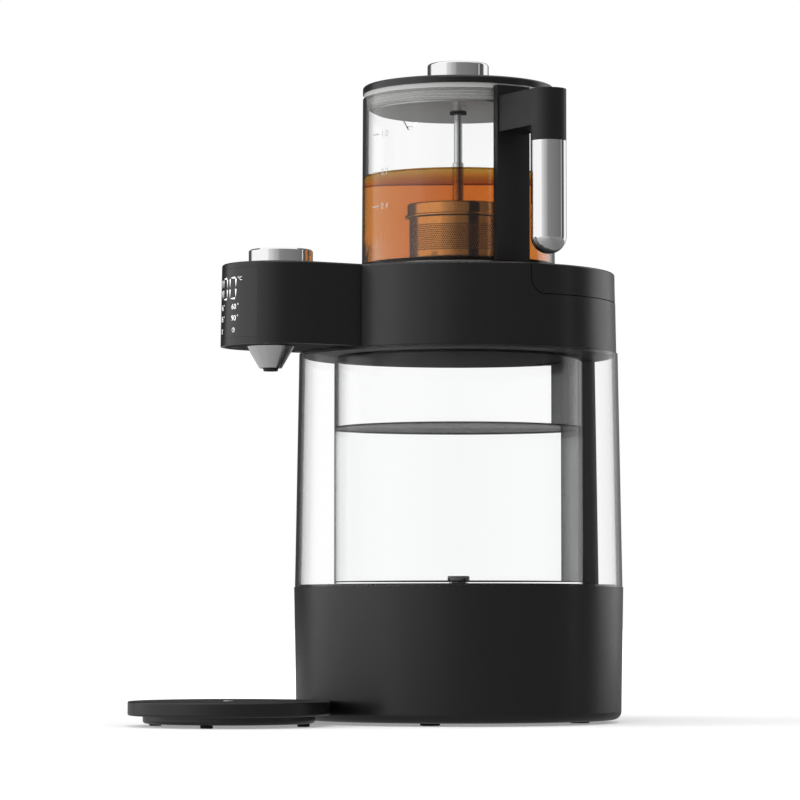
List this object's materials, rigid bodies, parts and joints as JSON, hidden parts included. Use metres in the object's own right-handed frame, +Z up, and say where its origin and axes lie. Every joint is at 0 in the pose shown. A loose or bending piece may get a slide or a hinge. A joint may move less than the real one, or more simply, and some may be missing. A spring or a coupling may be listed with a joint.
{
  "type": "automatic tea maker",
  "caption": "Countertop tea maker: drum base, clear water tank, heated housing with dial and spout arm, glass pot with a lifting infuser, and a loose round coaster.",
  "frame": {"origin": "on the floor under the drum's axis, at the middle foot of the base", "axes": "+Z up; -Y towards the spout arm and the user; +X towards the pot's handle"},
  "size_m": [0.2312, 0.3482, 0.4403],
  "materials": {
    "black_satin": "satin moulded plastic",
    "black_matte": "fine matte plastic",
    "black_rubber": "matte",
    "clear_shell": "clear, polished",
    "grey_plastic": "matte",
    "pale_silicone": "soft matte silicone",
    "chrome": "polished",
    "steel": "brushed",
    "aluminium": "satin",
    "gold_trim": "satin",
    "display_black": "gloss",
    "board_green": "lacquered board",
    "pump_grey": "moulded",
    "tube_silicone": "translucent silicone"
  },
  "bodies": {
    "machine": {"base_shell": "black_satin", "base_cover": "black_matte", "base_feet": "black_rubber", "base_screws": "steel", "cord_gland": "black_matte", "power_board": "board_green", "water_pump": "pump_grey", "suction_tube": "tube_silicone", "pressure_tube": "tube_silicone", "inline_heater": "aluminium", "riser_tube": "tube_silicone", "tank_gasket": "black_rubber", "tank_vessel": "clear_shell", "tank_valve": "grey_plastic", "tank_shell": "clear_shell", "tank_ring": "grey_plastic", "spine": "black_matte", "housing_shell": "black_satin", "housing_cover": "black_matte", "housing_screws": "steel", "outlet_tube": "tube_silicone", "spout_cone": "chrome", "spout_tip": "black_matte", "fill_funnel": "black_matte", "heater_plate": "aluminium", "plate_seal": "pale_silicone", "heater_element": "steel", "temp_sensor": "aluminium", "control_board": "board_green", "dial_encoder": "aluminium", "display_window": "display_black", "display_board": "board_green"},
    "filler_cover": {"filler_cover": "black_satin"},
    "dial_shaft": {"dial_shaft": "steel"},
    "dial_knob": {"dial_knob": "chrome", "dial_ring": "gold_trim"},
    "pot": {"pot_glass": "clear_shell", "pot_base": "aluminium", "handle_bracket": "black_matte", "handle_grip": "chrome", "handle_stud": "steel"},
    "lid": {"lid_disc": "black_matte", "lid_gasket": "pale_silicone", "lid_plate": "aluminium", "rod_grommet": "black_rubber"},
    "infuser": {"lift_knob": "chrome", "lift_rod": "steel", "rod_collar": "steel", "basket": "steel"},
    "basket_cap": {"basket_lid": "steel"},
    "coaster": {"coaster_tray": "black_satin", "coaster_feet": "black_rubber"},
    "coaster_plate": {"coaster_plate": "black_matte", "coaster_boss": "chrome"}
  },
  "joints": [
    {"name": "filler_slide", "type": "slide", "parent": "machine", "child": "filler_cover", "axis": [0, 1, 0], "range_m": [0, 0.04]},
    {"name": "dial_press", "type": "slide", "parent": "machine", "child": "dial_shaft", "axis": [0, 0, -1], "range_m": [0, 0.0005], "stiffness_N_per_m": 3000, "springref_m": -0.0008},
    {"name": "dial_turn", "type": "hinge", "parent": "dial_shaft", "child": "dial_knob", "pos_m": [0, -0.1362, 0.303], "axis": [0, 0, 1], "continuous": true},
    {"name": "pot_lift", "type": "slide", "parent": "machine", "child": "pot", "axis": [0, 0, 1], "range_m": [0, 0.12]},
    {"name": "lid_lift", "type": "slide", "parent": "pot", "child": "lid", "axis": [0, 0, 1], "range_m": [0, 0.12]},
    {"name": "infuser_lift", "type": "slide", "parent": "lid", "child": "infuser", "axis": [0, 0, 1], "range_m": [0, 0.0326]},
    {"name": "cap_lift", "type": "slide", "parent": "infuser", "child": "basket_cap", "axis": [0, 0, 1], "range_m": [0, 0.02]},
    {"name": "coaster_slide", "type": "slide", "parent": "machine", "child": "coaster", "axis": [0, -1, 0], "range_m": [0, 0.06]},
    {"name": "plate_lift", "type": "slide", "parent": "coaster", "child": "coaster_plate", "axis": [0, 0, 1], "range_m": [0, 0.03]}
  ]
}
